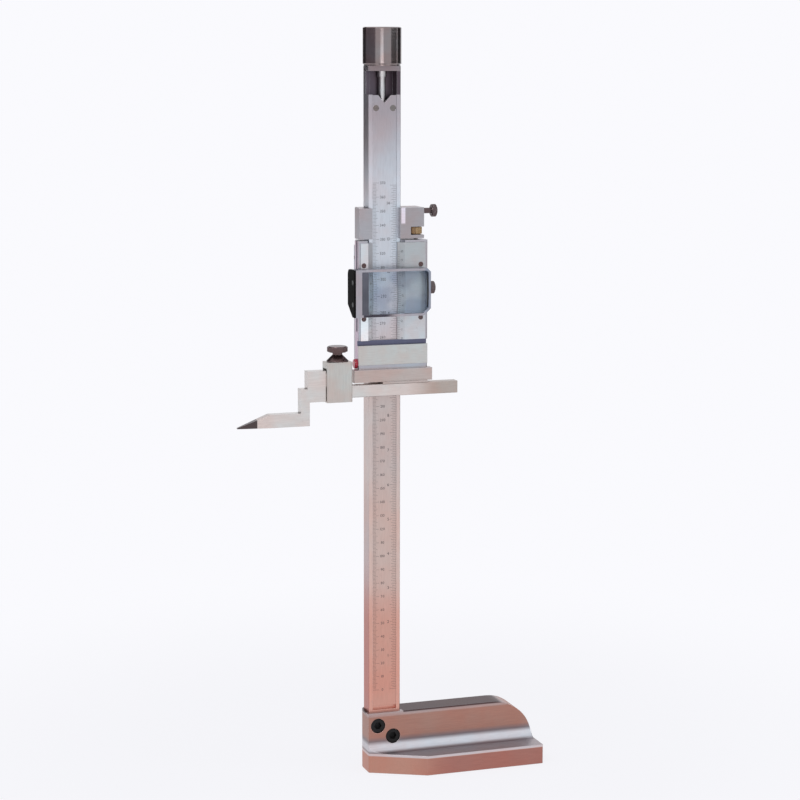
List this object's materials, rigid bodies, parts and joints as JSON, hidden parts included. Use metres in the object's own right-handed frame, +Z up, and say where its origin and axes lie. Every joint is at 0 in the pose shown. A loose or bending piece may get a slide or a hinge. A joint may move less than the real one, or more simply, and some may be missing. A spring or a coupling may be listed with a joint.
{
  "type": "vernier height gauge",
  "caption": "Vernier height gauge: foot with a coved side tail, grooved column with a zero-setting scale, slider with fine feed, magnifier and an offset scriber on a jaw bar",
  "frame": {"origin": "sole plane, under the middle of the column", "axes": "+Z up along the column, +X along the tail of the foot, +Y to the back, away from the scale face"},
  "size_m": [0.2258, 0.064, 0.5389],
  "materials": {
    "foot_steel": "ground, warm reflections",
    "column_steel": "finely ground",
    "bright_steel": "bright turned",
    "scale_chrome": "satin chrome with dark graduations",
    "knob_chrome": "polished",
    "slider_steel": "satin",
    "jaw_steel": "ground",
    "box_steel": "satin",
    "screw_steel": "turned",
    "dark_screw": "dark, knurled",
    "black_screw": "black oxide",
    "brass": "turned",
    "lens_metal": "satin",
    "black_plastic": "moulded",
    "lens_glass": "clear with a blue coat",
    "seal_red": "glossy",
    "carbide": "ground, dark"
  },
  "bodies": {
    "foot": {"base": "foot_steel", "column": "column_steel", "column_screws": "black_screw", "bearing_cap": "bright_steel", "cap_screws": "screw_steel"},
    "scale": {"main_scale": "scale_chrome", "scale_bracket": "bright_steel", "bracket_screws": "screw_steel", "scale_guide_screws": "screw_steel"},
    "knob": {"adjust_knob": "knob_chrome", "adjust_spindle": "bright_steel", "knob_grub_screw": "black_screw"},
    "slider": {"slider_frame": "slider_steel", "slider_back_plate": "slider_steel", "slider_back_screws": "screw_steel", "gib_strip": "brass", "gib_screws": "black_screw", "metric_vernier": "scale_chrome", "inch_vernier": "scale_chrome", "vernier_screws": "dark_screw", "blank_plate": "scale_chrome", "jaw_bar": "jaw_steel", "jaw_screws": "black_screw", "seal_plug": "seal_red", "feed_spindle": "bright_steel"},
    "slider_clamp": {"slider_clamp_screw": "dark_screw"},
    "slider_shoe": {"slider_clamp_shoe": "brass"},
    "carriage": {"carriage_frame": "slider_steel"},
    "carriage_clamp": {"carriage_clamp_screw": "dark_screw"},
    "carriage_shoe": {"carriage_clamp_shoe": "brass"},
    "nut": {"feed_nut": "brass"},
    "magnifier": {"lens_frame": "lens_metal", "lens_holder": "black_plastic", "lens_glass": "lens_glass", "lens_side_cover": "black_plastic", "lens_screws": "dark_screw"},
    "scriber_box": {"clamp_box": "box_steel"},
    "scriber_clamp": {"clamp_screw": "dark_screw"},
    "scriber_pad": {"clamp_pad": "brass"},
    "scriber": {"scriber_shank": "jaw_steel", "scriber_tip": "carbide"}
  },
  "joints": [
    {"name": "slider_travel", "type": "slide", "parent": "foot", "child": "slider", "axis": [0, 0, 1], "range_m": [-0.2345, 0.056]},
    {"name": "knob_turn", "type": "hinge", "parent": "foot", "child": "knob", "pos_m": [0, 0, 0.5084], "axis": [0, 0, 1], "range_deg": [-1801, 1801]},
    {"name": "scale_set", "type": "slide", "parent": "foot", "child": "scale", "axis": [0, 0, 1], "range_m": [-0.0025, 0.0025]},
    {"name": "slider_clamp_turn", "type": "hinge", "parent": "slider", "child": "slider_clamp", "pos_m": [0.031, 0, 0.3541], "axis": [1, 0, 0], "range_deg": [0, 124]},
    {"name": "slider_shoe_slide", "type": "slide", "parent": "slider", "child": "slider_shoe", "axis": [1, 0, 0], "range_m": [0, 0.00024]},
    {"name": "carriage_travel", "type": "slide", "parent": "slider", "child": "carriage", "axis": [0, 0, 1], "range_m": [-0.0008, 0.0064]},
    {"name": "nut_turn", "type": "hinge", "parent": "carriage", "child": "nut", "pos_m": [0.024, -0.004, 0.3959], "axis": [0, 0, 1], "range_deg": [-577, 4610]},
    {"name": "carriage_clamp_turn", "type": "hinge", "parent": "carriage", "child": "carriage_clamp", "pos_m": [0.0283, -0.003, 0.4096], "axis": [1, 0, 0], "range_deg": [0, 124]},
    {"name": "carriage_shoe_slide", "type": "slide", "parent": "carriage", "child": "carriage_shoe", "axis": [1, 0, 0], "range_m": [0, 0.00024]},
    {"name": "magnifier_slide", "type": "slide", "parent": "slider", "child": "magnifier", "axis": [0, 0, 1], "range_m": [-0.011, 0.016]},
    {"name": "box_slide", "type": "slide", "parent": "slider", "child": "scriber_box", "axis": [1, 0, 0], "range_m": [-0.008, 0.0015]},
    {"name": "scriber_slide", "type": "slide", "parent": "scriber_box", "child": "scriber", "axis": [1, 0, 0], "range_m": [-0.012, 0]},
    {"name": "scriber_clamp_turn", "type": "hinge", "parent": "scriber_box", "child": "scriber_clamp", "pos_m": [-0.0368, -0.0105, 0.3053], "axis": [0, 0, 1], "range_deg": [0, 113]},
    {"name": "scriber_pad_slide", "type": "slide", "parent": "scriber_box", "child": "scriber_pad", "axis": [0, 0, 1], "range_m": [0, 0.00025]}
  ],
  "couplings": [
    {"joint": "knob_turn", "follows": "scale_set", "rad_per_m": -12566},
    {"joint": "slider_clamp_turn", "follows": "slider_shoe_slide", "rad_per_m": 8975.9},
    {"joint": "nut_turn", "follows": "carriage_travel", "rad_per_m": 12566},
    {"joint": "carriage_clamp_turn", "follows": "carriage_shoe_slide", "rad_per_m": 8975.9},
    {"joint": "scriber_clamp_turn", "follows": "scriber_pad_slide", "rad_per_m": 7853.9}
  ]
}
